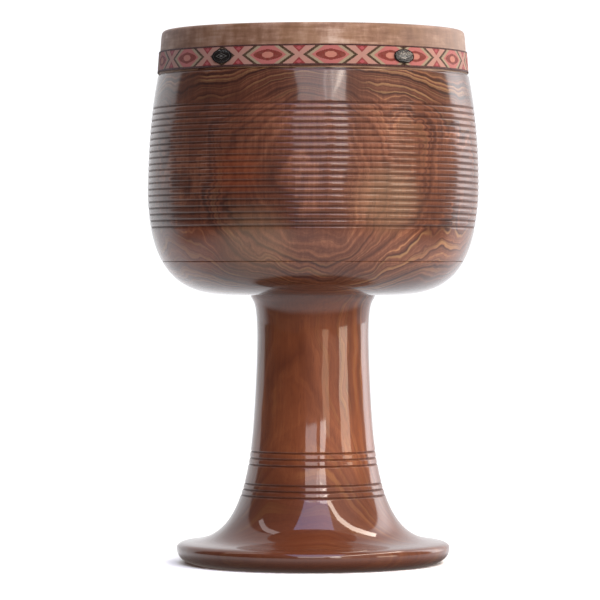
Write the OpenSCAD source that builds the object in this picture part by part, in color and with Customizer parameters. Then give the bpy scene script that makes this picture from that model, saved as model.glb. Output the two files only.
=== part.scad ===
// Wooden goblet drum: a turned bowl glued on a turned neck and foot, a hide head glued over the rim,
// a woven ribbon round the edge of the hide, and two oval domed badges over the joints in the ribbon.
// Millimetres, +Z up, origin on the floor in the middle of the foot, the badges face -Y.

/* [Overall] */
// Height from the floor to the top of the head
drum_h = 450; // [440:1:470]
// Facets on a full circle where OpenSCAD draws one
round_fn = 96; // [48:24:192]

/* [Bowl] */
// Radius at the widest part of the bowl
bowl_r = 140.2; // [139.8:0.1:140.6]
// Height of the widest part
bowl_wide_z = 322; // [320:1:324]
// Height of the bowl's flat underside, where the neck meets it
bowl_base_z = 227; // [226:0.5:228]
// Radius of the arc that draws the wall in towards the rim
upper_arc_r = 466; // [440:1:500]
// Thickness of the side wall
wall_t = 11; // [9:0.5:13]
// Thickness of the floor round the spigot
floor_t = 16; // [14:0.5:18]

/* [Rim] */
// Height of the small step where the hide ends
step_z = 412; // [411:0.5:413]
// Radius of the land under the hide at that step
land_foot_r = 130.3; // [130:0.1:130.6]
// Radius of the land at the top of the rim
land_top_r = 127.6; // [127:0.1:128]
// Rounding of the rim's outer edge
rim_round = 3; // [2:0.5:4]
// Radius of the mouth inside the rim
mouth_r = 118.5; // [117:0.5:120]

/* [Turned grooves] */
// How many grooves are cut round the bowl
groove_n = 20; // [5:1:20]
// Height of the lowest of them
groove_low_z = 284; // [283:0.5:286]
// Spacing of the grooves
groove_pitch = 5.27; // [4:0.01:6.4]
// Radius of the gouge that cuts them
gouge_r = 1.0; // [0.8:0.1:1.2]
// Depth of a groove
groove_d = 0.7; // [0.4:0.1:0.8]
// Height of the single fine line below them
line_z = 255.3; // [250:0.1:260]
// Depth of that line
line_d = 0.3; // [0.2:0.05:0.4]

/* [Neck and foot] */
// Smallest radius of the neck
neck_r = 47.2; // [46:0.1:48]
// Height of that narrowest place
neck_z = 190; // [185:1:195]
// Radius of the collar under the bowl
collar_r = 53; // [52:0.1:55]
// Radius of the throat bored through the neck
throat_r = 33; // [31:0.5:34]
// Radius of the spigot that is glued in the bowl's floor
spigot_r = 40; // [39:0.5:41]
// Glue gap round the spigot
glue_gap = 0.1; // [0.05:0.05:0.2]
// Radius of the foot at its edge
foot_r = 116; // [114:0.5:118]
// Height of the foot's widest place
foot_edge_z = 13; // [12:0.5:14]
// Outer radius of the ring that the foot stands on
stand_r = 102; // [100:0.5:104]
// Width of that ring
stand_w = 10; // [8:0.5:14]
// Radius of the bell's mouth under the foot
bell_r = 60; // [56:1:64]
// How far the middle of the foot's underside is hollowed
hollow_h = 5; // [3:0.5:7]
// How many grooves there are in each of the foot's two sets
set_n = 3; // [1:1:3]
// Height of the lowest groove in the upper set
upper_set_z = 84.1; // [83:0.1:86]
// Spacing of the grooves in the upper set
upper_set_pitch = 5.4; // [4:0.1:6]
// Height of the lowest groove in the lower set
lower_set_z = 58.2; // [56:0.1:60]
// Spacing of the grooves in the lower set
lower_set_pitch = 4.9; // [4:0.1:5.4]

/* [Head] */
// Thickness of the hide
hide_t = 0.6; // [0.5:0.1:0.8]
// Height of the hide's lower edge
hide_edge_z = 412.4; // [412.2:0.1:413]

/* [Ribbon] */
// Height of the ribbon's lower edge
ribbon_z = 414; // [413.5:0.5:415]
// Width of the ribbon
ribbon_w = 18.2; // [16:0.1:20]
// Thickness of the ribbon
ribbon_t = 1.4; // [1:0.1:1.6]
// Gap between the ribbon's two lengths, under each badge
ribbon_gap = 0.6; // [0.3:0.1:1]

/* [Badges] */
// Angle of each badge from the front
badge_angle = 34.5; // [30:0.5:40]
// Length of the oval
badge_w = 20; // [18:0.5:22]
// Height of the oval
badge_h = 11.6; // [10:0.2:13]
// Thickness of the backing plate
plate_t = 0.7; // [0.5:0.1:1]
// Height of the clear dome on it
dome_t = 1.1; // [0.8:0.1:1.4]

/* [Hidden] */

// A cubic curve through four control points, at t from 0 to 1, and as a list of n + 1 points.
function curve_at(c, t) = pow(1 - t, 3) * c[0] + 3 * t * pow(1 - t, 2) * c[1]
                          + 3 * t * t * (1 - t) * c[2] + pow(t, 3) * c[3];
function curve(c, n) = [for (i = [0 : n]) curve_at(c, i / n)];
// The radius at which a curve that runs downwards passes height z, found by halving.
function radius_at(c, z, lo = 0, hi = 1, steps = 24) =
    let (mid = (lo + hi) / 2, p = curve_at(c, mid))
    steps == 0 ? p[0]
    : p[1] > z ? radius_at(c, z, mid, hi, steps - 1)
    : radius_at(c, z, lo, mid, steps - 1);

// The wood's top, under the hide.
rim_z = drum_h - hide_t;
// The outside of the bowl: a long arc above the widest place, and one curve down and under below it.
function upper_r(z) = bowl_r - upper_arc_r + sqrt(pow(upper_arc_r, 2) - pow(z - bowl_wide_z, 2));
bowl_under = [[bowl_r, bowl_wide_z], [bowl_r, bowl_base_z], [97, bowl_base_z], [56.5, bowl_base_z]];
function bowl_out(z) = z > bowl_wide_z ? upper_r(z) : radius_at(bowl_under, z);
// The land that the hide is glued to leans inwards from the step to the rim.
function land_r(z) = land_foot_r + (land_top_r - land_foot_r) * (z - step_z) / (rim_z - step_z);

// The neck's outside: the fillet under the collar, the long waist, and the sweep out over the foot.
fillet = [[collar_r, bowl_base_z], [51.6, 220.5], [neck_r, 226], [neck_r, neck_z]];
waist = [[neck_r, neck_z], [neck_r, 188], [48.2, 118], [55.1, 82]];
sweep = [[55.1, 82], [67.7, 16.8], [94.8, 21.2], [111, 17.7]];
// The foot's edge: a small rounding above, a larger one below, down to the ring it stands on.
edge_top = [[111, 17.7], [114, 17], [foot_r, 15.8], [foot_r, foot_edge_z]];
edge_low = [[foot_r, foot_edge_z], [foot_r, 7], [112, 2], [stand_r, 0]];
function neck_out(z) = z > waist[3][1] ? radius_at(waist, z) : radius_at(sweep, z);
// The bell inside the foot, from the throat down to its mouth.
bell = [[throat_r, 95], [throat_r, 50], [44, 22], [bell_r, hollow_h]];

spigot_top_z = bowl_base_z + floor_t;
// The inside of the bowl, from the rim down to the spigot's hole.
inner_low = [[bowl_r - wall_t, bowl_wide_z], [bowl_r - wall_t, 250], [100, 245], [spigot_r + 14, spigot_top_z]];

// Cuts a round groove of depth d into an outline, at height z on radius r.
module gouge(r, z, d) translate([r + gouge_r - d, z]) circle(r = gouge_r, $fn = 24);

module bowl()
    color([0.40, 0.24, 0.16])
    rotate_extrude($fn = round_fn)
    difference() {
        polygon(concat(
            [[spigot_r, bowl_base_z]],
            [for (i = [24 : -1 : 0]) curve_at(bowl_under, i / 24)],
            [for (i = [1 : 10]) let (z = bowl_wide_z + (step_z - bowl_wide_z) * i / 10) [upper_r(z), z]],
            [[land_foot_r, step_z]],
            [for (a = [0 : 15 : 90]) [land_top_r - rim_round * (1 - cos(a)), rim_z - rim_round * (1 - sin(a))]],
            [[mouth_r + 2, rim_z], [mouth_r, rim_z - 2], [mouth_r, rim_z - 20]],
            [[bowl_r - wall_t, bowl_wide_z + 30]],
            curve(inner_low, 16),
            [[spigot_r, spigot_top_z]]));
        for (i = [0 : groove_n - 1])
            let (z = groove_low_z + i * groove_pitch) gouge(bowl_out(z), z, groove_d);
        gouge(bowl_out(line_z), line_z, line_d);
    }

module neck_and_foot()
    color([0.45, 0.22, 0.12])
    rotate_extrude($fn = round_fn)
    difference() {
        polygon(concat(
            [[throat_r, spigot_top_z - 6], [throat_r + 4, spigot_top_z],
             [spigot_r - glue_gap, spigot_top_z], [spigot_r - glue_gap, bowl_base_z]],
            curve(fillet, 8),
            [for (i = [1 : 12]) curve_at(waist, i / 12)],
            [for (i = [1 : 16]) curve_at(sweep, i / 16)],
            [for (i = [1 : 5]) curve_at(edge_top, i / 5)],
            [for (i = [1 : 6]) curve_at(edge_low, i / 6)],
            [[stand_r - stand_w, 0], [bell_r + 6, hollow_h - 1]],
            [for (i = [16 : -1 : 0]) curve_at(bell, i / 16)]));
        for (i = [0 : set_n - 1], z = [upper_set_z + i * upper_set_pitch, lower_set_z + i * lower_set_pitch])
            gouge(neck_out(z), z, groove_d);
    }

// Flat over the mouth, round the rim and down the land to its cut edge.
module hide_head()
    color([0.72, 0.60, 0.45])
    rotate_extrude($fn = round_fn)
    polygon(concat(
        [[0, rim_z]],
        [for (a = [90 : -15 : 0]) [land_top_r - rim_round * (1 - cos(a)), rim_z - rim_round * (1 - sin(a))]],
        [[land_r(hide_edge_z), hide_edge_z], [land_r(hide_edge_z) + hide_t, hide_edge_z]],
        [for (a = [0 : 15 : 90])
            [land_top_r - rim_round + (rim_round + hide_t) * cos(a), rim_z - rim_round + (rim_round + hide_t) * sin(a)]],
        [[0, drum_h]]));

// A length of ribbon over the hide's edge, from angle a to angle b, counted from +X.
module ribbon(a, b)
    color([0.62, 0.30, 0.26])
    rotate([0, 0, a])
    rotate_extrude(angle = b - a, $fn = round_fn)
    let (low = land_r(ribbon_z) + hide_t, high = land_r(ribbon_z + ribbon_w) + hide_t)
    polygon([[low, ribbon_z], [low + ribbon_t, ribbon_z],
             [high + ribbon_t, ribbon_z + ribbon_w], [high, ribbon_z + ribbon_w]]);

// The angle, seen from above, that half the gap takes at the ribbon's radius.
half_gap = atan(ribbon_gap / 2 / land_foot_r);
front = -90;
module ribbon_front() ribbon(front - badge_angle + half_gap, front + badge_angle - half_gap);
module ribbon_rear() ribbon(front + badge_angle + half_gap, front - badge_angle - half_gap + 360);

// The ribbon's outer face at height z: it leans with the land, and the badges are bent to it.
function face_r(z) = land_r(z) + hide_t + ribbon_t;
badge_z = ribbon_z + ribbon_w / 2;
// How far each of the dome's three steps is drawn in from the plate's edge.
dome_insets = [0.8, 1.6, 3.2];

// An upright oval bar along +X, side millimetres larger all round than a badge.
module oval_bar(side)
    translate([0, 0, badge_z]) rotate([90, 0, 90]) linear_extrude(height = 2 * land_foot_r)
    polygon([for (a = [0 : 10 : 350]) [(badge_w / 2 + side) * cos(a), (badge_h / 2 + side) * sin(a)]]);

// The part of the shell from low to high outside the ribbon's face that such a bar cuts out.
module oval_shell(low, high, side)
    let (z0 = badge_z - badge_h, z1 = badge_z + badge_h)
    intersection() {
        rotate([0, 0, -10]) rotate_extrude(angle = 20, $fn = round_fn)
            polygon([[face_r(z0) + low, z0], [face_r(z0) + high, z0], [face_r(z1) + high, z1], [face_r(z1) + low, z1]]);
        oval_bar(side);
    }

module badge_plate(angle)
    color([0.12, 0.10, 0.10])
    rotate([0, 0, front + angle]) oval_shell(0, plate_t, 0);

module badge_dome(angle)
    color([0.35, 0.35, 0.36])
    rotate([0, 0, front + angle])
    for (i = [0 : len(dome_insets) - 1])
        let (step = dome_t / len(dome_insets)) oval_shell(plate_t + i * step, plate_t + (i + 1) * step, -dome_insets[i]);

bowl();
neck_and_foot();
hide_head();
ribbon_front();
ribbon_rear();
badge_plate(-badge_angle);  // badge_plate_left
badge_dome(-badge_angle);  // badge_dome_left
badge_plate(badge_angle);  // badge_plate_right
badge_dome(badge_angle);  // badge_dome_right
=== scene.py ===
# %% [markdown]
# # A wooden goblet drum
# The drum is two turned blocks of wood glued together, a hide glued over the rim, a woven ribbon glued
# round the hide's edge in two lengths, and two domed badges over the places where the lengths meet.
# The CAD model fixes every size. This script gives each of its pieces a finer surface and a finish.
# Sizes are in millimetres where they are named, and become metres when a mesh is made. The drum stands
# on z = 0, its axis is the Z axis, and its front, between the badges, faces -Y.

# %% Load the frame
import math

import bpy
import numpy as np
from mathutils import Matrix, Vector


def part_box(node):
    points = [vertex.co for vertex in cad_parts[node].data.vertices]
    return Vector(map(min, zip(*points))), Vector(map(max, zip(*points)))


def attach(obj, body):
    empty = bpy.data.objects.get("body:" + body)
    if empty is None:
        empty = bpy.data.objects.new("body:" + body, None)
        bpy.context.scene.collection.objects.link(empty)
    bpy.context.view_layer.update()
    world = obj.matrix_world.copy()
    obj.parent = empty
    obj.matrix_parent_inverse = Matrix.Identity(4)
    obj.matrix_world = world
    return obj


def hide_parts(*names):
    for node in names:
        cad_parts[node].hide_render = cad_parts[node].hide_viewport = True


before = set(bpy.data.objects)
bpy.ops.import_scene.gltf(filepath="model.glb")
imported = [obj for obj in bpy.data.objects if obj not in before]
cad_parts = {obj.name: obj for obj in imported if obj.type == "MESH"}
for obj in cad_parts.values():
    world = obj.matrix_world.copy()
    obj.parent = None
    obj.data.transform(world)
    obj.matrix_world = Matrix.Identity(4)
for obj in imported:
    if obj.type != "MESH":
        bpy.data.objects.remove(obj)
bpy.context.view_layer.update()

MM = 0.001


def cad_size(node):
    """Largest radius, lowest and highest point of a CAD node, in millimetres."""
    low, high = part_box(node)
    return max(high.x, high.y) / MM, low.z / MM, high.z / MM


bowl_r, bowl_base, rim_z = cad_size("bowl")
foot_r, _, spigot_top = cad_size("neck_and_foot")
hide_r, hide_edge, head_z = cad_size("hide_head")
_, ribbon_low, ribbon_high = cad_size("ribbon_rear")
print("bowl radius", round(bowl_r, 1), "base", round(bowl_base, 1), "rim", round(rim_z, 1))
print("foot radius", round(foot_r, 1), "head", round(head_z, 1))
print("ribbon from", round(ribbon_low, 1), "to", round(ribbon_high, 1))

# %% [markdown]
# ## Outlines
# A lathe makes a shape by one outline, so every wooden piece here is one outline spun round the axis.
# The outline could be drawn point by point, but smooth curves need few numbers: four control points for
# a cubic curve, as in the CAD model. Each row of an outline holds a radius, a height, how deep a tool
# has cut there (0 to 1) and whether the wood is bare (1) or lacquered (0). The last two are stored on
# the mesh, so that a finish can darken the grooves and leave the inside without lacquer. No two points
# of a grooved line are closer than CLOSEST, and its direction is measured over REACH on either side.

# %% Curves and grooves
NEAR_CUT = np.array([-2.4, -1.7, -1.3, -1.05, -0.8, -0.5, 0, 0.5, 0.8, 1.05, 1.3, 1.7, 2.4])
CLOSEST, REACH = 0.08, 0.05


def curve(points, steps):
    """A cubic curve through four control points, as steps + 1 rows of radius and height."""
    t = np.linspace(0, 1, steps + 1)[:, None]
    a, b, c, d = np.array(points, float)
    return (1 - t) ** 3 * a + 3 * t * (1 - t) ** 2 * b + 3 * t * t * (1 - t) * c + t ** 3 * d


def chain(*parts):
    """Joins stretches of an outline, leaving out a point that repeats the one before it."""
    rows = np.concatenate([np.array(p, float) for p in parts])
    apart = np.linalg.norm(np.diff(rows[:, :2], axis=0), axis=1) > 1e-6
    return rows[np.concatenate([[True], apart])]


def finished(line, bare):
    """A stretch of outline with no tool cuts, as rows of radius, height, cut and bare."""
    line = np.array(line, float)
    return np.column_stack([line, np.zeros(len(line)), np.full(len(line), float(bare))])


def grooved(line, heights, depth, width, step, crown=0.0, pitch=1.0):
    """Cuts a groove of that depth and half width into a line at each height, and gathers points there,
    at NEAR_CUT half widths from its middle. Between grooves a pitch apart the wood is left as a low
    round bead, crown millimetres high. The line may run up or down: a cut goes towards the axis."""
    along = np.concatenate([[0], np.cumsum(np.linalg.norm(np.diff(line, axis=0), axis=1))])
    centres = np.array([along[np.argmin(abs(line[:, 1] - z))] for z in heights])
    marks = np.concatenate([np.arange(0, along[-1], step), [along[-1]],
                            (centres[:, None] + width * NEAR_CUT).ravel()])
    marks = np.sort(marks[(marks >= 0) & (marks <= along[-1])])
    marks = marks[np.concatenate([[True], np.diff(marks) > CLOSEST])]

    def point_at(places):
        return np.column_stack([np.interp(places, along, line[:, i]) for i in (0, 1)])

    run = point_at(marks + REACH) - point_at(marks - REACH)
    uphill = np.sign(line[-1, 1] - line[0, 1])
    inward = np.column_stack([-run[:, 1], run[:, 0]]) * uphill
    inward = inward / np.linalg.norm(run, axis=1)[:, None]
    away = abs(marks[:, None] - centres)
    cut = np.exp(-(away / width) ** 4).sum(1)
    dip = crown * np.where(away < pitch / 2, (1 + np.cos(2 * np.pi * away / pitch)) / 2, 0).sum(1)
    point = point_at(marks) + inward * (cut * (depth - crown) + dip)[:, None]
    return np.column_stack([point, np.minimum(cut, 1), np.zeros(len(point))])


print("points across one groove:", len(NEAR_CUT))


# %% [markdown]
# ## Spinning an outline
# Blender's Screw modifier spins an outline too. Building the rings directly keeps every ring at a known
# place, and it lets the surface lie a few tenths of a millimetre unevenly, which is what makes real
# reflections waver. The unevenness is a sum of a few slow sine waves round and up the drum.

# %% The lathe
TURNS, SHARP_ANGLE = 236, 42
WAVES = [(3, 0.021, 0.4), (5, -0.034, 1.9), (8, 0.055, 4.1),
         (13, -0.08, 2.6), (19, 0.11, 0.9), (31, -0.17, 5.2)]


def waver(angle, height, amount):
    """How far the surface stands proud at an angle and a height, in millimetres. Each wave has a number
    of crests round the drum, a slant and a shift."""
    return amount * sum(np.sin(n * angle + slant * height + shift) / n for n, slant, shift in WAVES)


def new_piece(name, points, faces, node):
    """A mesh object in metres that stands for a CAD node, which it hides, and rides on the drum."""
    mesh = bpy.data.meshes.new(name)
    mesh.from_pydata((np.array(points) * MM).tolist(), [], faces)
    mesh.validate()
    mesh.shade_smooth()
    mesh.set_sharp_from_angle(angle=math.radians(SHARP_ANGLE))
    piece = bpy.data.objects.new(name, mesh)
    bpy.context.scene.collection.objects.link(piece)
    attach(piece, "root")
    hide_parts(node)
    print(name, len(mesh.vertices), "points", len(mesh.polygons), "faces")
    return piece


def note(piece, name, values):
    """Stores one number for each point of a mesh, for its finish to read."""
    layer = piece.data.attributes.new(name, "FLOAT", "POINT")
    layer.data.foreach_set("value", np.asarray(values, np.float32))


def turned(name, outline, node, uneven):
    """Spins a closed outline of radius, height, cut and bare round the axis."""
    angle = np.arange(TURNS) * 2 * np.pi / TURNS
    height, bare = outline[:, 1, None], outline[:, 3, None]
    radius = outline[:, 0, None] + waver(angle[None, :], height, uneven) * (1 - bare)
    points = np.stack([radius * np.cos(angle), radius * np.sin(angle),
                       np.broadcast_to(height, radius.shape)], -1).reshape(-1, 3)
    ring, turn = np.meshgrid(np.arange(len(outline)), np.arange(TURNS), indexing="ij")
    after, beside = (ring + 1) % len(outline), (turn + 1) % TURNS
    faces = np.stack([ring * TURNS + turn, ring * TURNS + beside,
                      after * TURNS + beside, after * TURNS + turn], -1).reshape(-1, 4)
    r, z = outline[:, 0], outline[:, 1]
    anticlockwise = (r * np.roll(z, -1) - np.roll(r, -1) * z).sum() > 0
    faces = faces if anticlockwise else faces[:, ::-1]
    piece = new_piece(name, points, faces.tolist(), node)
    note(piece, "cut", np.repeat(outline[:, 2], TURNS))
    note(piece, "bare", np.repeat(outline[:, 3], TURNS))
    return piece


print("the lathe makes", TURNS, "points round each ring")

# %% [markdown]
# ## The bowl
# The wall is a long arc above the widest place and one curve under it. Twenty grooves are cut with a
# small gouge, each with a softened lip, and the beads between them are slightly crowned, which breaks a
# reflection into one thin streak a bead. A fine line runs round below them. The inside is bare wood.

# %% Turn the bowl
WIDE_Z, WALL_ARC = 322, 466
STEP_Z, LAND_FOOT_R, LAND_TOP_R, RIM_ROUND, MOUTH_R = 412, 130.3, 127.6, 3, 118.5
GROOVES, GROOVE_LOW, GROOVE_PITCH = 20, 284, 5.27
GROOVE_DEPTH, GROOVE_HALF, BEAD_CROWN = 0.6, 1.05, 0.16
FINE_LINE_Z, FINE_LINE_DEPTH, FINE_LINE_HALF = 255.3, 0.3, 0.45
SPIGOT_R, WALL, STEP_ROUND, BOWL_UNEVEN = 40, 11, 0.4, 0.85


def wall_r(z):
    """Radius of the wall above its widest place."""
    return bowl_r - WALL_ARC + np.sqrt(WALL_ARC ** 2 - (z - WIDE_Z) ** 2)


def land_r(z):
    """Radius of the land that the hide is glued to, which leans in towards the rim."""
    return LAND_FOOT_R + (LAND_TOP_R - LAND_FOOT_R) * (z - STEP_Z) / (rim_z - STEP_Z)


under = curve([[bowl_r, WIDE_Z], [bowl_r, bowl_base], [97, bowl_base], [56.5, bowl_base]], 3000)
wall_z = np.linspace(WIDE_Z, STEP_Z - STEP_ROUND, 900)
wall = chain(under[::-1], np.column_stack([wall_r(wall_z), wall_z]))
groove_z = GROOVE_LOW + GROOVE_PITCH * np.arange(GROOVES)
under_grooves = wall[:, 1] < GROOVE_LOW - GROOVE_PITCH / 2
low_wall = grooved(wall[under_grooves], [FINE_LINE_Z], FINE_LINE_DEPTH, FINE_LINE_HALF, step=3.2)
high_wall = grooved(wall[~under_grooves], groove_z, GROOVE_DEPTH, GROOVE_HALF, step=2.0,
                    crown=BEAD_CROWN, pitch=GROOVE_PITCH)
corner = np.radians(np.arange(0, 91, 15))
rim = np.column_stack([LAND_TOP_R - RIM_ROUND * (1 - np.cos(corner)),
                       rim_z - RIM_ROUND * (1 - np.sin(corner))])
mouth = [[MOUTH_R + 2, rim_z], [MOUTH_R + 0.6, rim_z - 0.6],
         [MOUTH_R, rim_z - 2], [MOUTH_R, rim_z - 20]]
inner_r = bowl_r - WALL
cavity_top = [[inner_r, WIDE_Z + rise] for rise in (30, 20, 10, 0)]
cavity_low = [[inner_r, WIDE_Z], [inner_r, 250], [100, 245], [SPIGOT_R + 14, spigot_top]]
inside = chain(mouth, curve(cavity_top, 4), curve(cavity_low, 20),
               [[SPIGOT_R, spigot_top], [SPIGOT_R, bowl_base]])
bowl_outline = chain(low_wall, high_wall,
                     finished([[wall_r(STEP_Z) - STEP_ROUND, STEP_Z], [land_r(STEP_Z), STEP_Z]], 0),
                     finished(rim, 1), finished(inside, 1))
bowl = turned("bowl_turned", bowl_outline, "bowl", BOWL_UNEVEN)
print("groove heights", groove_z[0], "to", round(groove_z[-1], 1))

# %% [markdown]
# ## The neck and foot
# The second block runs from a small fillet under the bowl, down a long waist, and sweeps out into the
# foot. It has two sets of three grooves, a rounded edge, a narrow ring to stand on and an open bell.
# The same lathe makes it. Its lacquer is thicker and has been rubbed down, so it lies more evenly than
# the bowl's, and its reflections are sharper.

# %% Turn the neck and foot
NECK_R, NECK_Z, COLLAR_R, THROAT_R = 47.2, 190, 53, 33
FOOT_EDGE_Z, STAND_R, STAND_W, BELL_R, HOLLOW = 13, 102, 10, 60, 5
FOOT_GROOVES = [94.9, 89.5, 84.1, 68.0, 63.1, 58.2]
FOOT_GROOVE_DEPTH, FOOT_GROOVE_HALF, NECK_UNEVEN, GLUE_GAP = 0.75, 0.8, 0.3, 0.1
SHOULDER, EDGE_IN = [55.1, 82], [111, 17.7]

body = chain(curve([[COLLAR_R, bowl_base], [51.6, 220.5], [NECK_R, 226], [NECK_R, NECK_Z]], 400),
             curve([[NECK_R, NECK_Z], [NECK_R, 188], [48.2, 118], SHOULDER], 900),
             curve([SHOULDER, [67.7, 16.8], [94.8, 21.2], EDGE_IN], 900),
             curve([EDGE_IN, [114, 17], [foot_r, 15.8], [foot_r, FOOT_EDGE_Z]], 60),
             curve([[foot_r, FOOT_EDGE_Z], [foot_r, 7], [112, 2], [STAND_R, 0]], 120))
stand_in = STAND_R - STAND_W
below = chain([[STAND_R - 0.6, 0], [stand_in, 0], [stand_in - 1.5, 0.5], [BELL_R + 6, HOLLOW - 1]],
              curve([[BELL_R, HOLLOW], [44, 22], [THROAT_R, 50], [THROAT_R, 95]], 18),
              [[THROAT_R, 130], [THROAT_R, 180], [THROAT_R, spigot_top - 6], [THROAT_R + 4, spigot_top],
               [SPIGOT_R - GLUE_GAP, spigot_top], [SPIGOT_R - GLUE_GAP, bowl_base],
               [COLLAR_R - 0.4, bowl_base]])
outside = grooved(body, FOOT_GROOVES, FOOT_GROOVE_DEPTH, FOOT_GROOVE_HALF, step=1.9)
neck_outline = chain(outside[::-1], finished(below, 1)[::-1])
neck = turned("neck_turned", neck_outline, "neck_and_foot", NECK_UNEVEN)

# %% [markdown]
# ## The hide
# The head is one thin hide, soaked, drawn over the rim and glued down its outside. It could be shaped
# by a cloth simulation, but a drum skin is drawn so tight that it can only be flat on top and straight
# down the side, so it is spun like the wood. What shows that it is skin is added after: a knife-cut
# lower edge that wanders, a thickness that varies from back to belly, and a faint sag at the middle.

# %% Stretch the hide
HIDE_T, HIDE_TURNS, SKIN_GAP, SAG = 0.6, 360, 0.02, 0.12
EDGE_BAND, EDGE_WANDER, SIDE_START, SIDE_R = 15, 0.55, 122, 126


def skin_outline():
    """Outer face from the middle of the head to the cut edge, then the inner face back to the middle."""
    outer_r = LAND_TOP_R - RIM_ROUND
    flat = np.concatenate([[0.0], np.linspace(6, outer_r, 26)])
    turn = np.radians(np.arange(82, -1, -8))
    side = np.linspace(rim_z - RIM_ROUND - 2.5, hide_edge, 14)
    out = chain(np.column_stack([flat, np.full(len(flat), head_z)]),
                np.column_stack([outer_r + (RIM_ROUND + HIDE_T) * np.cos(turn),
                                 rim_z - RIM_ROUND + (RIM_ROUND + HIDE_T) * np.sin(turn)]),
                np.column_stack([land_r(side) + HIDE_T, side]))
    back = chain(np.column_stack([land_r(side) + SKIN_GAP, side])[::-1],
                 np.column_stack([outer_r + (RIM_ROUND + SKIN_GAP) * np.cos(turn),
                                  rim_z - RIM_ROUND + (RIM_ROUND + SKIN_GAP) * np.sin(turn)])[::-1],
                 np.column_stack([flat, np.full(len(flat), rim_z + SKIN_GAP)])[::-1])
    return out, back


def stretched_hide():
    """The hide's edge wanders in the lowest EDGE_BAND, its side is lumpy, and its middle sags."""
    out, back = skin_outline()
    angle = np.arange(HIDE_TURNS) * 2 * np.pi / HIDE_TURNS
    rows = np.concatenate([out[1:], back[:-1]])
    shown = np.arange(len(rows)) < len(out) - 1
    edge = 0.5 * np.sin(3 * angle + 1) + 0.3 * np.sin(7 * angle + 4) + 0.2 * np.sin(19 * angle) - 0.3
    band_top = rim_z - EDGE_BAND
    low = np.clip((band_top - rows[:, 1]) / (band_top - hide_edge), 0, 1)[:, None]
    height = rows[:, 1, None] + low * (edge + 1.3).clip(0, 2)[None, :] * EDGE_WANDER
    lump = 0.12 * np.sin(2 * angle + 0.6) + 0.06 * np.sin(5 * angle + 2.2) + 0.03 * np.sin(11 * angle)
    on_side = np.clip((rows[:, 0] - SIDE_R) / 2, 0, 1)[:, None] * shown[:, None]
    radius = rows[:, 0, None] + on_side * (lump[None, :] - 0.15)
    height = height - shown[:, None] * SAG * (1 - np.clip(rows[:, 0, None] / 125, 0, 1) ** 2)
    points = np.stack([radius * np.cos(angle), radius * np.sin(angle), height], -1).reshape(-1, 3)
    n = len(rows)
    ring, turn = np.meshgrid(np.arange(n - 1), np.arange(HIDE_TURNS), indexing="ij")
    beside = (turn + 1) % HIDE_TURNS
    here, after = ring * HIDE_TURNS, (ring + 1) * HIDE_TURNS
    faces = np.stack([here + turn, after + turn, after + beside, here + beside], -1)
    faces = faces.reshape(-1, 4).tolist()
    top, bottom = n * HIDE_TURNS, n * HIDE_TURNS + 1
    points = np.concatenate([points, [[0, 0, head_z - SAG], [0, 0, rim_z + SKIN_GAP]]])
    for j in range(HIDE_TURNS):
        k = (j + 1) % HIDE_TURNS
        faces.append([top, j, k])
        faces.append([bottom, (n - 1) * HIDE_TURNS + k, (n - 1) * HIDE_TURNS + j])
    piece = new_piece("hide_skin", points, faces, "hide_head")
    side = np.clip((rows[:, 0] - SIDE_START) / (SIDE_R - SIDE_START), 0, 1)
    note(piece, "side", np.append(np.repeat(side, HIDE_TURNS), [0, 0]))
    return piece


hide = stretched_hide()

# %% [markdown]
# ## The ribbon
# A jacquard ribbon hides the cut edge. One length goes round the front between the badges and the other
# round the back, so its pattern doesn't meet itself at the badges. Each length is a thin closed strip
# that leans with the rim, with a corded selvedge along both edges and fine ribs across where the weft
# turns. Where a point lies in the pattern is stored along and across the strip, for the weave to read.
# The strip fills all but a hair of the CAD ribbon's height, so it can drift up and down a little.

# %% Weave the two lengths
RIBBON_T, RIB_STEP, RIB_PROUD, BADGE_ANGLE, RIBBON_GAP = 1.4, 0.55, 0.03, 34.5, 0.6
STRIP_SHARE = 0.985
REPEAT_FRONT, CROSS_FRONT = 22.7, -5.07
REPEAT_REAR, CROSS_REAR = 22.3, 50.9
ribbon_w = ribbon_high - ribbon_low


def ribbon_section():
    """Rows of distance out from the hide and place across the ribbon (-1 to 1), round its outside."""
    across = np.linspace(-0.9, 0.9, 19)
    face = np.column_stack([0.86 + 0.06 * (1 - across ** 2), across])
    turn = np.radians(np.arange(-60, 61, 30))
    cord = np.column_stack([0.68 + 0.378 * np.cos(turn), 0.925 + 0.075 * np.sin(turn)])
    back = [[0.08, 0.97], [0.05, 0.0], [0.08, -0.97]]
    return np.concatenate([face, cord, back, cord[::-1] * [1, -1]])


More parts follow.
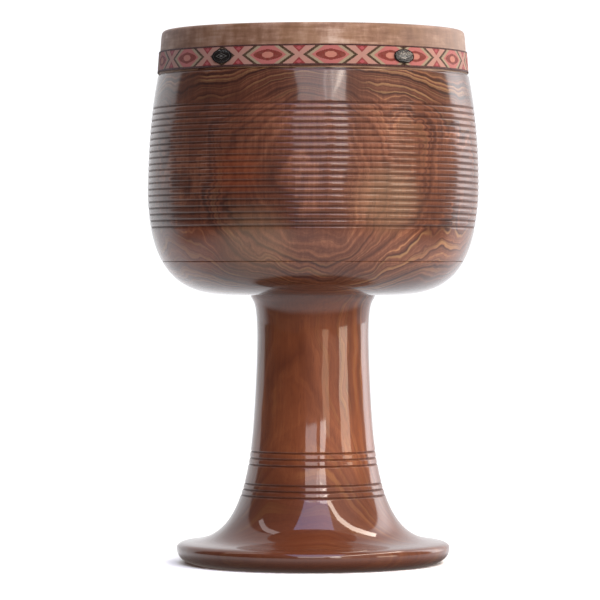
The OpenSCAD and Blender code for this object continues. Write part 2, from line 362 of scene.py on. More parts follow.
def woven(name, start, end, repeat, crossing, node):
    """A ribbon from one angle to another, in degrees from the front, positive to the drum's right."""
    section = ribbon_section()
    arc = math.radians(end - start) * (hide_r + 1)
    steps = int(arc / RIB_STEP)
    angle = np.radians(np.linspace(start, end, steps + 1))
    mid = (ribbon_low + ribbon_high) / 2
    drift = 0.12 * np.sin(angle * 4.0 + 1) + 0.08 * np.sin(angle * 9.0)
    rib = RIB_PROUD * (np.arange(steps + 1) % 2)
    height = mid + section[None, :, 1] * ribbon_w / 2 * STRIP_SHARE + drift[:, None]
    on_face = (abs(section[:, 1]) < 0.9) * (section[:, 0] > 0.5)
    out = section[None, :, 0] + rib[:, None] * on_face[None, :]
    radius = land_r(height) + HIDE_T + out
    turn = angle[:, None] - math.pi / 2
    points = np.stack([radius * np.cos(turn), radius * np.sin(turn), height], -1).reshape(-1, 3)
    n = len(section)
    i, j = np.meshgrid(np.arange(steps), np.arange(n), indexing="ij")
    k = (j + 1) % n
    faces = np.stack([i * n + j, (i + 1) * n + j, (i + 1) * n + k, i * n + k], -1)
    faces = faces.reshape(-1, 4).tolist()
    faces.append(list(range(n)))
    faces.append(list(range(steps * n, (steps + 1) * n))[::-1])
    piece = new_piece(name, points, faces, node)
    note(piece, "along", np.repeat((np.degrees(angle) - crossing) / repeat, n))
    note(piece, "across", np.tile(section[:, 1], steps + 1))
    print("  flat size", round(ribbon_w, 1), "by", round(arc, 1), "mm")
    return piece


half_gap = math.degrees(RIBBON_GAP / 2 / hide_r)
front_ribbon = woven("ribbon_front_woven", -BADGE_ANGLE + half_gap, BADGE_ANGLE - half_gap,
                     REPEAT_FRONT, CROSS_FRONT, "ribbon_front")
rear_ribbon = woven("ribbon_rear_woven", BADGE_ANGLE + half_gap, 360 - BADGE_ANGLE - half_gap,
                    REPEAT_REAR, CROSS_REAR, "ribbon_rear")

# %% [markdown]
# ## The badges
# Each badge is a thin enamelled plate, bent to the ribbon, under a cast dome. Both are ovals, so both
# come from one set of rings scaled down to the middle. The plate has a rolled rim. The dome lies inside
# the rim on a flat back, with a small edge and a low cap, as resin has when it sets under its own skin.

# %% Cast the badges
BADGE_W, BADGE_H, PLATE_T, DOME_T, BADGE_TURNS = 20, 11.6, 0.7, 1.1, 72
DOME_BACK, DOME_EDGE, DOME_SHARE = 0.43, 0.63, 0.9


def oval(name, side, rows, node):
    """Rings of share of the oval and distance out from the ribbon, closed at both ends."""
    spin = np.arange(BADGE_TURNS) * 2 * np.pi / BADGE_TURNS
    share, out = np.array(rows, float).T
    x = share[:, None] * BADGE_W / 2 * np.cos(spin)
    y = share[:, None] * BADGE_H / 2 * np.sin(spin)
    x, y = np.append(x.ravel(), [0, 0]), np.append(y.ravel(), [0, 0])
    out = np.append(np.repeat(out, BADGE_TURNS), [out[0], out[-1]])
    height = (ribbon_low + ribbon_high) / 2 + y
    radius = land_r(height) + HIDE_T + RIBBON_T + out
    turn = math.radians(side * BADGE_ANGLE) + x / (hide_r + RIBBON_T) - math.pi / 2
    points = np.stack([radius * np.cos(turn), radius * np.sin(turn), height], -1)
    n, faces = BADGE_TURNS, []
    for i in range(len(rows) - 1):
        for j in range(n):
            k = (j + 1) % n
            faces.append([i * n + j, i * n + k, (i + 1) * n + k, (i + 1) * n + j])
    first, last, top = len(x) - 2, len(x) - 1, (len(rows) - 1) * n
    for j in range(n):
        k = (j + 1) % n
        faces.append([first, k, j])
        faces.append([last, top + j, top + k])
    piece = new_piece(name, points, faces, node)
    note(piece, "left_right", x)
    note(piece, "up_down", y)
    return piece


def plate_rows():
    """From the middle of the back, out to the edge, over the rolled rim and in to the middle."""
    back = [[s, -0.1] for s in (0.3, 0.7, 0.97)]
    roll = np.radians(np.arange(-60, 151, 30))
    rim = [[0.955 + 0.045 * math.cos(a), 0.35 + 0.35 * math.sin(a)] for a in roll]
    return back + rim + [[s, 0.42] for s in (0.88, 0.75, 0.6, 0.45, 0.3, 0.15)]


def dome_rows():
    """From the middle of its flat back, out, up its small edge and over the low cap."""
    flat = [[share, DOME_BACK] for share in (0.3, 0.6, DOME_SHARE)]
    rise = PLATE_T + DOME_T - DOME_EDGE
    cap = [[share, DOME_EDGE + rise * (1 - (share / DOME_SHARE) ** 2)]
           for share in np.linspace(DOME_SHARE, 0.03, 20)]
    return flat + cap


plates, domes = [], []
for side, word in ((-1, "left"), (1, "right")):
    plates.append(oval(f"badge_{word}_plate", side, plate_rows(),
                       f"badge_plate_{word}"))
    domes.append(oval(f"badge_{word}_dome", side, dome_rows(),
                      f"badge_dome_{word}"))

# %% [markdown]
# ## Writing finishes as sums
# A finish is a tree of nodes. Long trees are hard to read as code, so one small class, Wire, wraps a
# node's output and lets Python's own signs build the tree: a sum of two numbers adds a Math node, and
# a sum of two vectors adds a Vector Math node. Finish makes any other node, given its settings and what
# goes into its sockets, and returns the node's outputs by name.

# %% Wires and finishes
class Wire:
    """One output of a node. Signs between wires and numbers add the nodes that work them out."""
    def __init__(self, finish, socket):
        self.finish, self.socket = finish, socket

    def worked(self, operation, *values):
        vector = any(isinstance(v, tuple) or isinstance(v, Wire) and v.socket.type == "VECTOR"
                     for v in values)
        kind = "ShaderNodeVectorMath" if vector else "ShaderNodeMath"
        return self.finish.node(kind, {"operation": operation}, *values)["Vector" if vector else "Value"]

    def __add__(self, other):
        return self.worked("ADD", self, other)

    def __sub__(self, other):
        return self.worked("SUBTRACT", self, other)

    def __rsub__(self, other):
        return self.worked("SUBTRACT", other, self)

    def __mul__(self, other):
        return self.worked("MULTIPLY", self, other)

    def __truediv__(self, other):
        return self.worked("DIVIDE", self, other)

    def __rtruediv__(self, other):
        return self.worked("DIVIDE", other, self)

    def __pow__(self, other):
        return self.worked("POWER", self, other)

    def __rpow__(self, other):
        return self.worked("POWER", other, self)

    __radd__, __rmul__ = __add__, __mul__

    def maths(self, operation, *others):
        return self.worked(operation, self, *others)

    def over(self, start, end):
        """0 up to start, 1 from end on, and smooth between them."""
        return self.finish.node("ShaderNodeMapRange", {"interpolation_type": "SMOOTHSTEP"},
                                Value=self, From_Min=start, From_Max=end)["Result"]


class Finish:
    """A material under construction. Its shader is a Principled node, and set() fills its sockets."""
    def __init__(self, name, **fixed):
        self.material = bpy.data.materials.new(name)
        self.material.use_nodes = True
        self.tree = self.material.node_tree
        self.tree.nodes.clear()
        self.shader = self.tree.nodes.new("ShaderNodeBsdfPrincipled")
        output = self.tree.nodes.new("ShaderNodeOutputMaterial")
        self.tree.links.new(self.shader.outputs["BSDF"], output.inputs["Surface"])
        self.set(**fixed)

    def fill(self, socket, value):
        if isinstance(value, Wire):
            self.tree.links.new(value.socket, socket)
        elif socket.type == "RGBA" and len(value) == 3:
            socket.default_value = (*value, 1.0)
        else:
            socket.default_value = value

    def set(self, **sockets):
        for name, value in sockets.items():
            self.fill(self.shader.inputs[name.replace("_", " ")], value)

    def node(self, kind, settings, *values, **sockets):
        made = self.tree.nodes.new(kind)
        for name, value in settings.items():
            if name == "stops":
                ramp = made.color_ramp.elements
                while len(ramp) < len(value):
                    ramp.new(1.0)
                for element, (place, colour) in zip(ramp, value):
                    element.position, element.color = place, (*colour, 1.0)
            else:
                setattr(made, name, value)
        usable = [s for s in made.inputs if s.enabled]
        for socket, value in zip(usable, values):
            self.fill(socket, value)
        for name, value in sockets.items():
            self.fill(next(s for s in usable if s.name == name.replace("_", " ")), value)
        return {s.name: Wire(self, s) for s in made.outputs if s.enabled}

    def place(self):
        """Where a point is on the drum, in metres."""
        return self.node("ShaderNodeTexCoord", {})["Object"]

    def stored(self, name):
        """A number that was stored on the mesh."""
        return self.node("ShaderNodeAttribute", {"attribute_name": name})["Fac"]

    def axes(self, vector):
        """A vector's X, Y and Z as numbers."""
        return self.node("ShaderNodeSeparateXYZ", {}, Vector=vector)

    def length(self, vector):
        return self.node("ShaderNodeVectorMath", {"operation": "LENGTH"}, vector)["Value"]

    def cloud(self, vector, scale, detail=2.0, rough=0.5):
        """Soft noise from 0 to 1, about one lump for each 1 / scale metres."""
        return self.node("ShaderNodeTexNoise", {}, Vector=vector, Scale=scale, Detail=detail,
                         Roughness=rough)["Fac"]

    def mixed(self, factor, first, second):
        """The first colour at factor 0, the second at 1, and mixtures of the two between."""
        return self.node("ShaderNodeMix", {"data_type": "RGBA"}, factor, first, second)["Result"]

    def ramp(self, value, stops):
        return self.node("ShaderNodeValToRGB", {"stops": stops}, Fac=value)["Color"]

    def bump(self, height, distance, strength=1.0):
        return self.node("ShaderNodeBump", {}, Strength=strength, Distance=distance,
                         Height=height)["Normal"]


def paint(code):
    """A colour written as on a paint card, such as 8a5a3c, in the linear values that shaders use."""
    parts = [int(code[i:i + 2], 16) / 255 for i in (0, 2, 4)]
    return tuple(p / 12.92 if p <= 0.04045 else ((p + 0.055) / 1.055) ** 2.4 for p in parts)


print("mid grey 808080 is", [round(part, 3) for part in paint("808080")])

# %% [markdown]
# ## Figured wood
# Growth rings are tubes round the tree's pith. A flat board shows them as stripes, but a bowl cut to one
# side of the pith shows nested ovals where its wall bulges past the rings, and arches where it turns in.
# So the rings are worked out in the solid: the distance from a line, the pith, behind the bowl's axis,
# with the trunk's flutes and some noise added. Near the rim the trunk leaned, so the rings arch there.
# The distance then reads a one-dimensional noise, which gives rings of uneven width and strength.
# Fibres and pores run up the trunk, so their noise is stretched along Z. The beads between the grooves
# are too narrow to show much of the rings, so the figure is quieter there. Two redder patches of
# heartwood and two paler ones of sapwood show through. The same function makes the neck's plainer wood
# from other values. A finish reads its place on the drum in metres, so the sizes here are in metres.

# %% The wood
GROOVES_START, GROOVES_END = (0.278, 0.284), (0.386, 0.390)
BELLY_START, LEAN_START = (0.245, 0.258), 0.358
TOP_STAIN, TOP_STAIN_DEPTH, CUT_DEPTH, PORE_DEPTH = (0.380, 0.392), 0.42, 0.46, 0.3
CALM_PLACE, CALM_SIZE, LEAN_BEND = (0.0, -0.14, 0.325), (0.055, 0.10), 9.0
SLOW_WANDER, MIDDLING_WANDER, SMALL_WANDER = 0.034, 0.014, 0.002
EMBER, SAPWOOD = paint("9c4c26"), paint("ba9c78")
CUT_STAIN_AND_SHADE, BARE_DUST = paint("20100a"), paint("b98f66")


def between(height, rise, fall):
    """1 from one height to another and 0 outside them. Each is a pair that it is smooth between."""
    return height.over(*rise) - height.over(*fall)


def wood(name, pith, flutes, ring, stops, gold, figure, fibre, belly, patches, darker_below, rough, coat):
    """pith is the trunk's centre (x, y) in metres, flutes (count, depth, angle) and ring the spacing of
    the rings. stops are the colours from the darkest wood to the lightest, and gold is that of its pale
    streaks. figure and fibre are how strongly rings and fibres show, belly is how much lighter the wood
    is under the grooves, and patches are its other colours (x, z, size, strength, colour). darker_below
    is the heights between which the wood's darkening towards the bottom fades out, and its strength, and
    coat the lacquer's roughness and IOR."""
    look = Finish(name, Coat_Roughness=coat[0], Coat_IOR=coat[1], IOR=1.45, Specular_IOR_Level=0.1)
    place = look.place()
    height = look.axes(place)["Z"]
    off = look.axes(place + (-pith[0], -pith[1], 0.0))
    distance = look.length(look.node("ShaderNodeCombineXYZ", {}, X=off["X"], Y=off["Y"])["Vector"])
    count, depth, turn = flutes
    fluted = (off["X"].maths("ARCTAN2", off["Y"] * -1.0) * count + turn).maths("COSINE") * depth
    lean = (height - LEAN_START).maths("MAXIMUM", 0.0) ** 2.0 * LEAN_BEND
    slow = look.cloud(place * (1.0, 1.0, 0.55), 11.0)
    middling = look.cloud(place * (1.0, 1.0, 0.8), 36.0)
    small = look.cloud(place * (1.0, 1.0, 0.5), 95.0)
    rings = (distance + fluted - lean + (slow - 0.5) * SLOW_WANDER
             + (middling - 0.5) * MIDDLING_WANDER * figure + (small - 0.5) * SMALL_WANDER) / ring

    def band(shift, scale):
        """A noise that changes only from ring to ring."""
        return look.node("ShaderNodeTexNoise", {"noise_dimensions": "1D"}, W=rings + shift, Scale=scale,
                         Detail=3.0, Roughness=0.6)["Fac"]

    calm = look.length(place + tuple(-c for c in CALM_PLACE)).over(*CALM_SIZE)
    shown = look.cloud(place * (1.0, 1.0, 0.8), 15.0).over(0.34, 0.54) * calm
    plain = 1.0 - between(height, GROOVES_START, GROOVES_END)
    fibres = look.cloud(place * (1.0, 1.0, 0.045), 420.0, 4.0, 0.6)
    pores = look.cloud(place * (1.0, 1.0, 0.03), 1900.0, 1.0).over(0.60, 0.70)
    patch = look.cloud(place + (0.3, 0.1, 0.0), 16.0, 3.0)
    ringed = (band(0.0, 0.9) - 0.5) * (shown * 0.7 + 0.42) * (plain * 0.5 + 1.0) * figure
    paler = between(height, BELLY_START, GROOVES_START) * belly
    colour = look.ramp(ringed + (fibres - 0.5) * fibre + (patch - 0.5) * 0.4 + paler + 0.5, stops)
    golden = band(40.0, 0.8).over(0.54, 0.64) * shown * (plain * 0.7 + 0.15) * figure
    colour = look.mixed(golden, colour, gold)
    darkest = stops[0][1]
    inked = band(90.0, 0.9).over(0.56, 0.68) * (plain * 0.38 + 0.12) * figure
    colour = look.mixed(inked, colour, darkest)
    for x, z, size, strength, other in patches:
        away = look.length((place + (-x, 0.0, -z)) * (1.0, 0.0, 1.0))
        colour = look.mixed((1.0 - away.over(size * 0.3, size)) * strength, colour, other)
    colour = look.mixed(pores * PORE_DEPTH, colour, darkest)
    # The wood is darker towards the bottom, below the given heights, and darker again in the top band.
    low_start, low_end, low_depth = darker_below
    darkening = ((1.0 - height.over(low_start, low_end)) * low_depth
               + height.over(*TOP_STAIN) * TOP_STAIN_DEPTH)
    colour = look.mixed(darkening, colour, darkest)
    cut, bare = look.stored("cut"), look.stored("bare")
    # Darker in the tool cuts: partly real staining in the grooves and partly painted shade in their
    # recesses.
    colour = look.mixed(cut * CUT_DEPTH, colour, CUT_STAIN_AND_SHADE)
    look.set(Base_Color=look.mixed(bare, colour, look.mixed(0.55, colour, BARE_DUST)),
             Roughness=(fibres - 0.5) * 0.25 + rough + bare * 0.3,
             Coat_Weight=(1.0 - bare) * (1.0 - cut * 0.85),
             Normal=look.bump(pores * -1.0 + fibres, 0.00012, 0.5))
    return look.material


bowl_stops = [(0.20, paint("2d1710")), (0.38, paint("532e21")), (0.52, paint("6d402c")),
              (0.64, paint("89563d")), (0.78, paint("b58056")), (0.92, paint("cf9c66"))]
neck_stops = [(0.20, paint("4e2718")), (0.42, paint("723c23")), (0.55, paint("864a2c")),
              (0.70, paint("9e6038")), (0.85, paint("ba7d4a"))]
bowl_wood = wood("bowl_wood_lacquered", pith=(0.0, 0.044), flutes=(6, 0.0055, 0.0), ring=0.0024,
                 stops=bowl_stops, gold=paint("bd9060"), figure=0.75, fibre=0.24, belly=0.07,
                 patches=[(-0.062, 0.328, 0.028, 0.32, EMBER), (-0.098, 0.264, 0.034, 0.4, EMBER),
                          (0.060, 0.306, 0.036, 0.24, SAPWOOD), (-0.048, 0.270, 0.040, 0.22, SAPWOOD)],
                 darker_below=(0.235, 0.26, 0.12), rough=0.42, coat=(0.09, 1.48))
neck_wood = wood("neck_wood_lacquered", pith=(0.03, 0.09), flutes=(3, 0.002, 1.0), ring=0.0032,
                 stops=neck_stops, gold=paint("b98348"), figure=0.3, fibre=0.20, belly=0.0, patches=[],
                 darker_below=(0.05, 0.105, 0.62), rough=0.40, coat=(0.045, 1.58))
bowl.data.materials.append(bowl_wood)
neck.data.materials.append(neck_wood)
print("wood finishes", bowl_wood.name, neck_wood.name)

# %% [markdown]
# ## Hide
# Scraped hide is creamy where it is stretched over air and browner down the side, where glue and hands
# have darkened it. Towards the left front it is darker, partly its own ochre tone and partly painted
# shade, and towards the right it is paler and greyer, partly its own tone and partly painted light. It
# has slow mottling, fine follicle pits, faint scratches that run down the side from drawing it over the
# rim, and bands round the side from the cord that held it while the glue set.

# %% The hide's finish
def hide_finish():
    look = Finish("hide_scraped", Specular_IOR_Level=0.3, IOR=1.45,
                  Sheen_Weight=0.15, Sheen_Roughness=0.5)
    place = look.place()
    mottle = look.cloud(place, 22.0, 5.0, 0.62)
    drawn = look.cloud(place * (1.0, 1.0, 0.35), 130.0, 4.0, 0.65)
    wrapped = look.cloud(place * (0.3, 0.3, 2.4), 110.0, 3.0, 0.6)
    pits = look.cloud(place, 900.0, 2.0)
    side = look.stored("side")
    top = look.ramp(mottle, [(0.30, paint("b3946c")), (0.50, paint("ccb28a")),
                             (0.70, paint("dfcba8"))])
    skirt = look.ramp(mottle * 0.45 + drawn * 0.25 + wrapped * 0.30,
                      [(0.38, paint("67462f")), (0.47, paint("85634c")),
                       (0.54, paint("a08069")), (0.62, paint("bca38f"))])
    warm = look.cloud(place + (0.5, 0.0, 0.0), 45.0, 3.0).over(0.42, 0.62)
    skirt = look.mixed(warm * 0.30, skirt, paint("8a643c"))
    right = look.axes(place)["X"]
    # A darker band on the left front: partly the hide's own ochre tone and partly painted shade.
    ochre_and_shade_left = right.over(-0.124, -0.096) * (1.0 - right.over(-0.11, -0.01))
    skirt = look.mixed(ochre_and_shade_left * 0.45, skirt, paint("6b4526"))
    # Paler and greyer towards the right: partly the hide's own tone and partly painted light.
    skirt = look.mixed(right.over(0.04, 0.12) * 0.5, skirt, paint("978478"))
    look.set(Base_Color=look.mixed(side, top, skirt), Roughness=(drawn - 0.5) * 0.3 + 0.55,
             Normal=look.bump(pits * 0.5 + drawn, 0.00025, 0.6))
    return look.material


hide.data.materials.append(hide_finish())
print("hide finish", hide.data.materials[0].name)

# %% [markdown]
# ## Jacquard weave
# The ribbon repeats one cell: a pale cross with a red triangle above and below it, and between two
# crosses an olive chevron from either side, a pale stripe, and a pink, a dark red and a salmon lozenge
# one inside another. Every edge is straight, so each shape is one comparison of two coordinates: the
# distance from the nearest cross (0 at a cross, 1 halfway to the next) and the distance from the middle.
# Both are first snapped to the thread, so the slanting edges come out in fine steps, as woven ones do.

# %% The ribbon's finish
THREAD, PATTERN_HALF, SELVEDGE, SLANT = 0.45, 0.86, 0.97, 0.42
CHEVRON, STRIPE, PINK = 0.13, 0.255, 0.395
YARN = {"cream": "b38676", "olive": "36280f", "pale": "9f9074", "pink": "b56862", "dark_red": "782a20",
        "salmon": "bd7b68", "red": "862a2c", "rose": "ab4c50", "maroon": "391a18"}


def ribbon_finish():
    look = Finish("ribbon_jacquard", Specular_IOR_Level=0.25, Sheen_Weight=0.2, Sheen_Roughness=0.4)
    cell = math.radians(REPEAT_FRONT) * (hide_r + 1)
    along, across = look.stored("along"), look.stored("across")
    run, up = along * cell, across * (ribbon_w / 2)
    snapped_run = run.maths("SNAP", THREAD)
    snapped_up = up.maths("SNAP", THREAD).maths("ABSOLUTE") / (ribbon_w / 2)
    lap = (snapped_run / cell).maths("FRACT")
    from_cross = 1.0 - (lap * 2.0 - 1.0).maths("ABSOLUTE")
    v = snapped_up / PATTERN_HALF
    slant = from_cross - v * SLANT

    def at_least(value, level):
        return value.maths("GREATER_THAN", level)

    yarn = {name: paint(code) for name, code in YARN.items()}
    colour = look.mixed(at_least(slant, CHEVRON), yarn["cream"], yarn["olive"])
    colour = look.mixed(at_least(slant, STRIPE), colour, yarn["pale"])
    colour = look.mixed(at_least(slant, PINK), colour, yarn["pink"])
    halfway = 1.0 - from_cross
    outside_red = at_least(halfway / 0.48 + (v / 0.62) ** 2.0, 1.0)
    colour = look.mixed(outside_red, yarn["dark_red"], colour)
    outside_salmon = at_least((halfway / 0.19) ** 2.0 + (v / 0.33) ** 2.0, 1.0)
    colour = look.mixed(outside_salmon, yarn["salmon"], colour)
    triangle = at_least((v - 0.26) * 0.30, from_cross)
    colour = look.mixed(triangle, colour, yarn["red"])
    outside_rose = at_least(from_cross / 0.09 + (v - 0.72).maths("ABSOLUTE") / 0.2, 1.0)
    colour = look.mixed(outside_rose, yarn["rose"], colour)
    colour = look.mixed(at_least(v, SELVEDGE), colour, yarn["maroon"])
    wear = look.cloud(look.place(), 500.0, 3.0, 0.7)
    colour = look.mixed((wear - 0.5) * 0.8 + 0.10, colour, paint("94705f"))
    weft = (run * (math.pi / THREAD)).maths("SINE").maths("ABSOLUTE")
    warp = (up * (math.pi / THREAD)).maths("SINE").maths("ABSOLUTE")
    weave = weft * 0.6 + warp * 0.4
    # Painted shade: the colour darkens where the weave dips between the threads.
    thread_shaded = look.mixed((1.0 - weave) * 0.35, colour, paint("3a1c18"))
    look.set(Base_Color=thread_shaded, Roughness=0.85 - weave * 0.15, Normal=look.bump(weave, 0.00018, 0.7))
    return look.material


ribbon_material = ribbon_finish()
front_ribbon.data.materials.append(ribbon_material)
rear_ribbon.data.materials.append(ribbon_material)
print("ribbon finish", ribbon_material.name, "in", len(YARN), "yarns")

# %% [markdown]
# ## Badge enamel and dome
# The plate is black enamel with a plain silver lozenge round a smaller one, inside a thin ring, which is
# an ornament and not a mark. It is drawn from the stored distances from the badge's middle. The dome
# is clear, so it is left to the shader's own transmission.

# %% The badges' finishes
LOZENGE_W, LOZENGE_H, LOZENGE_AT, BUD, RING_AT = 0.62, 0.42, 0.82, 0.38, 0.80


def enamel():
    look = Finish("badge_enamel", Specular_IOR_Level=0.15)
    x, y = look.stored("left_right"), look.stored("up_down")
    wide, high = x / (BADGE_W / 2), y / (BADGE_H / 2)
    radius = (wide * wide + high * high).maths("SQRT")
    spread = wide.maths("ABSOLUTE") / LOZENGE_W + high.maths("ABSOLUTE") / LOZENGE_H
    outline = (0.13 - (spread - LOZENGE_AT).maths("ABSOLUTE")).over(0.0, 0.06)
    bud = (BUD - spread).over(0.0, 0.08)
    ring = (0.03 - (radius - RING_AT).maths("ABSOLUTE")).over(0.0, 0.02) * 0.5
    mark = outline.maths("MAXIMUM", bud).maths("MAXIMUM", ring)
    tarnish = look.cloud(look.place(), 700.0, 3.0)
    silver = look.mixed(tarnish, paint("6f6f6d"), paint("a6a5a0"))
    look.set(Base_Color=look.mixed(mark, paint("17100f"), silver), Metallic=mark * 0.5,
             Roughness=(tarnish - 0.5) * 0.2 + 0.55)
    return look.material


def resin():
    look = Finish("badge_resin", Transmission_Weight=1.0, IOR=1.49, Roughness=0.03)
    haze = look.cloud(look.place(), 900.0, 2.0)
    look.set(Base_Color=look.mixed(haze, paint("d9d9d6"), paint("f4f4f2")))
    return look.material


plate_material, dome_material = enamel(), resin()
for piece in plates:
    piece.data.materials.append(plate_material)
for piece in domes:
    piece.data.materials.append(dome_material)
print("finishes", [m.name for m in bpy.data.materials if m.users])

# %% [markdown]
# ## Floor and room
# Lacquer shows mostly what it mirrors, so the studio matters as much as the wood. One pale floor would
# either fog the lower half of the drum or look grey, so there are two sheets. The camera sees the floor
# and the lacquer doesn't mirror it. A millimetre under it is a table top that only the lacquer mirrors,
# and its glow is painted light: it glows behind and beside the drum, is dim in front as painted shade,
# and is dim close by as a painted shadow of the drum. The world stands for the rest of the room. White
# paper hangs behind the drum and round its sides, brightest on the right, which gives pale edges with a
# clear border. The room in front is dim on the left, and lighter and warmer on the right. The camera
# alone sees plain white all round.

# %% Floor and table
PAPER_REACH, FLOOR_FRONT, TABLE_FRONT, TABLE_Z = 3.0, -0.86, -3.0, -0.001
# The table's glow is painted light: bright far out, dim in front as painted shade, and dim round the
# foot as a painted shadow of the drum.
GLOW_FAR, GLOW_NEAR = (1.05, 1.03, 1.06), (0.17, 0.14, 0.13)
DIM_OUT, DIM_FORWARD, FOOT_SHADOW = (0.55, 1.1), (-0.55, -0.1), (0.11, 0.15)


def link(name, data):
    thing = bpy.data.objects.new(name, data)
    bpy.context.scene.collection.objects.link(thing)
    return thing


def flat_sheet(name, front, height, look):
    """A flat sheet round the drum's foot that isn't part of it. front is its near edge, in metres."""
    mesh = bpy.data.meshes.new(name)
    corners = [(-PAPER_REACH, front), (PAPER_REACH, front),
               (PAPER_REACH, PAPER_REACH), (-PAPER_REACH, PAPER_REACH)]
    mesh.from_pydata([(x, y, height) for x, y in corners], [], [(0, 1, 2, 3)])
    mesh.materials.append(look.material)
    sheet = link(name, mesh)
    sheet.visible_diffuse = False
    return sheet


white = Finish("floor_paper", Roughness=0.9, Specular_IOR_Level=0.2)
white.set(Base_Color=white.mixed(white.cloud(white.place(), 3.0), paint("f8f7f7"), paint("fcfcfc")))
floor = flat_sheet("floor", FLOOR_FRONT, 0.0, white)
floor.visible_glossy = False

# An emissive sheet whose glow is painted light from the room, with painted shade and a painted shadow of
# the drum.
glowing = Finish("table_painted_glow", Base_Color=paint("202020"), Roughness=0.9, Emission_Strength=1.0)
out = glowing.length(glowing.place())
forward = glowing.axes(glowing.place())["Y"] / out * -1.0
# Painted shade in front, and a painted shadow of the drum close round its foot.
in_front = out.over(*DIM_OUT) * forward.over(*DIM_FORWARD)
dim = in_front.maths("MAXIMUM", 1.0 - out.over(*FOOT_SHADOW))
glowing.set(Emission_Color=glowing.mixed(dim, GLOW_FAR, GLOW_NEAR))
table = flat_sheet("table", TABLE_FRONT, TABLE_Z, glowing)
table.visible_camera = False
print("floor seen, table mirrored")


# %% The room
class Room(Finish):
    """The world behind everything, built with the same wires as a finish."""
    def __init__(self):
        world = bpy.data.worlds.new("studio")
        bpy.context.scene.world = world
        world.use_nodes = True
        self.tree = world.node_tree
        self.tree.nodes.clear()
        self.shader = self.tree.nodes.new("ShaderNodeBackground")
        output = self.tree.nodes.new("ShaderNodeOutputWorld")
        self.tree.links.new(self.shader.outputs["Background"], output.inputs["Surface"])


def turned_by(sideways, start, end):
    """0 up to one direction and 1 from another, in degrees from the front round to the right."""
    return sideways.over(math.radians(start), math.radians(end))


PAPER_SEEN, PAPER_LEFT, PAPER_RIGHT = (1.12, 1.12, 1.14), (0.98, 0.98, 1.0), (3.3, 3.3, 3.35)
PAPER_TOP, DIM_LEFT = (0.68, 0.68, 0.70), (0.10, 0.09, 0.09)
DIM_RIGHT, DIM_FAR, DIM_LOW = (0.72, 0.60, 0.54), (0.40, 0.29, 0.20), (0.18, 0.15, 0.14)
RIGHT_SIDE, FAR_RIGHT, PAPER_EDGE = (-35, 45), (65, 98), (115, 121)
BRIGHT_RISE, BRIGHT_FALL = (60, 110), (124, 152)
room = Room()
toward = room.axes(room.node("ShaderNodeTexCoord", {})["Generated"])
sideways = toward["X"].maths("ARCTAN2", toward["Y"] * -1.0)
front = room.mixed(turned_by(sideways, *RIGHT_SIDE), DIM_LEFT, DIM_RIGHT)
front = room.mixed(turned_by(sideways, *FAR_RIGHT), front, DIM_FAR)
front = room.mixed(toward["Z"].over(-0.2, 0.0), DIM_LOW, front)
to_right = turned_by(sideways, *BRIGHT_RISE) * (1.0 - turned_by(sideways, *BRIGHT_FALL))
paper = room.mixed(to_right, PAPER_LEFT, PAPER_RIGHT)
above = toward["Z"] - turned_by(sideways, 0, 90) * 0.35
paper = room.mixed(above.over(0.2, 0.5), paper, PAPER_TOP)
behind = turned_by(sideways.maths("ABSOLUTE"), *PAPER_EDGE)
seen = room.node("ShaderNodeLightPath", {})["Is Camera Ray"]
room.set(Color=room.mixed(seen, room.mixed(behind, front, paper), PAPER_SEEN), Strength=1.0)
print("room", bpy.context.scene.world.name)

# %% [markdown]
# ## Lights
# An area light is a rectangle that glows, so it lights the drum and is mirrored in it too. Each one is
# something in the room in front: a tall window in three lights, the widest one behind a net curtain, a
# skylight above it, a tan door and a narrow window further right, and two tubes under the ceiling that
# the foot shows as curved streaks. A warm wall to the right gives soft light but isn't mirrored. The
# floor light falls on the floor alone, through light linking, so that the paper stays white.

# %% Lights
def panel(name, centre, across, up, glow, colour, mirrored=True):
    """A glowing panel. across and up are its width and height as vectors, and it shines away from their
    cross product. A panel that isn't mirrored gives light but shows in no reflection."""
    lamp = bpy.data.lights.new(name, "AREA")
    lamp.shape, lamp.size, lamp.size_y = "RECTANGLE", across.length, up.length
    lamp.energy, lamp.color = glow * math.pi * lamp.size * lamp.size_y, colour
    stand = link(name, lamp)
    axes = Matrix((across.normalized(), up.normalized(), across.cross(up).normalized()))
    stand.matrix_world = Matrix.Translation(centre) @ axes.transposed().to_4x4()
    stand.visible_camera, stand.visible_glossy = False, mirrored
    print(name, "at", [round(c, 2) for c in centre])
    return stand


def softbox(name, azimuth, elevation, wide, high, glow, colour, mirrored=True, distance=2.6):
    """A panel facing the drum. Azimuth counts to the camera's right, and the panel's width and height
    are angles in degrees as the drum sees them."""
    a, e = math.radians(azimuth), math.radians(elevation)
    ray = Vector((math.sin(a) * math.cos(e), -math.cos(a) * math.cos(e), math.sin(e)))
    right = Vector((math.cos(a), math.sin(a), 0))
    width, height = (2 * distance * math.tan(math.radians(angle / 2)) for angle in (wide, high))
    return panel(name, Vector((0, 0, 0.2)) + ray * distance, right * width, ray.cross(right) * height,
                 glow, colour, mirrored)


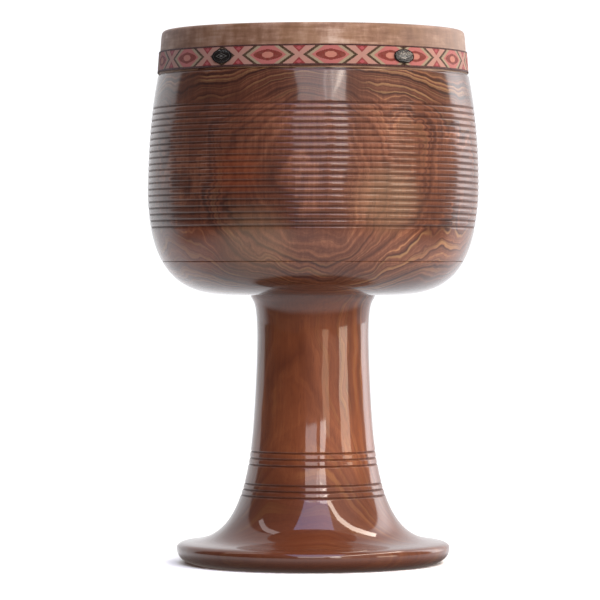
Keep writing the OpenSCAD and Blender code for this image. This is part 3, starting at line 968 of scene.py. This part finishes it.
softbox("window", 18.6, 19.5, 9.6, 31, 6.0, (1.0, 0.91, 0.87))
softbox("transom", 11.1, 25, 5.4, 18, 4.0, (1.0, 0.92, 0.91))
softbox("curtain", -1.8, 19.5, 20.6, 29, 3.0, (1.0, 0.93, 0.95))
softbox("skylight", 4, 57, 36, 46, 2.6, (0.42, 0.57, 1.0))
softbox("tan_door", 25, 1, 13, 9, 2.0, (1.0, 0.74, 0.50))
softbox("narrow_window", 64, 1, 20, 18, 4.0, (1.0, 0.83, 0.66))
softbox("warm_wall", 76, 20, 60, 60, 2.3, (1.0, 0.96, 0.93), mirrored=False)
panel("long_tube", Vector((1.27, -1.4, 2.04)), Vector((0, -5.4, 0)), Vector((0.48, 0, 0.30)),
      9.5, (1.0, 0.86, 0.74))
panel("short_tube", Vector((-1.5, 0.2, 2.04)), Vector((1.7, 0, 0)), Vector((0, 0.34, 0)),
      2.2, (1.0, 0.92, 0.92))
floor_light = softbox("floor_light", 0, 90, 100, 100, 0.85, (1.0, 1.0, 1.0),
                      mirrored=False, distance=3.5)
lit = bpy.data.collections.new("lit_by_floor_light")
lit.objects.link(floor)
floor_light.light_linking.receiver_collection = lit

# %% [markdown]
# ## Camera
# A long lens from three metres keeps the sides of the bowl nearly upright. The camera stands level with
# the fine line under the grooves, so that line is straight, and the rings above it curve up while those
# below it curve down. The Standard view keeps white paper white, where a film look would grey it.

# %% Camera
CAMERA_FAR, CAMERA_HIGH, VIEW_WIDTH, SENSOR = 3.05, 0.255, 0.5086, 36
LOOK_AT = Vector((-0.011, 0, 0.2227))
lens = bpy.data.cameras.new("camera")
camera = link("camera", lens)
camera.location = (0, -CAMERA_FAR, CAMERA_HIGH)
camera.rotation_euler = (LOOK_AT - camera.location).to_track_quat("-Z", "Y").to_euler()
lens.sensor_width = SENSOR
lens.lens = lens.sensor_width * CAMERA_FAR / VIEW_WIDTH
lens.clip_end = 100
bpy.context.scene.camera = camera
bpy.context.scene.view_settings.view_transform = "Standard"
print("lens", round(lens.lens, 1), "mm")
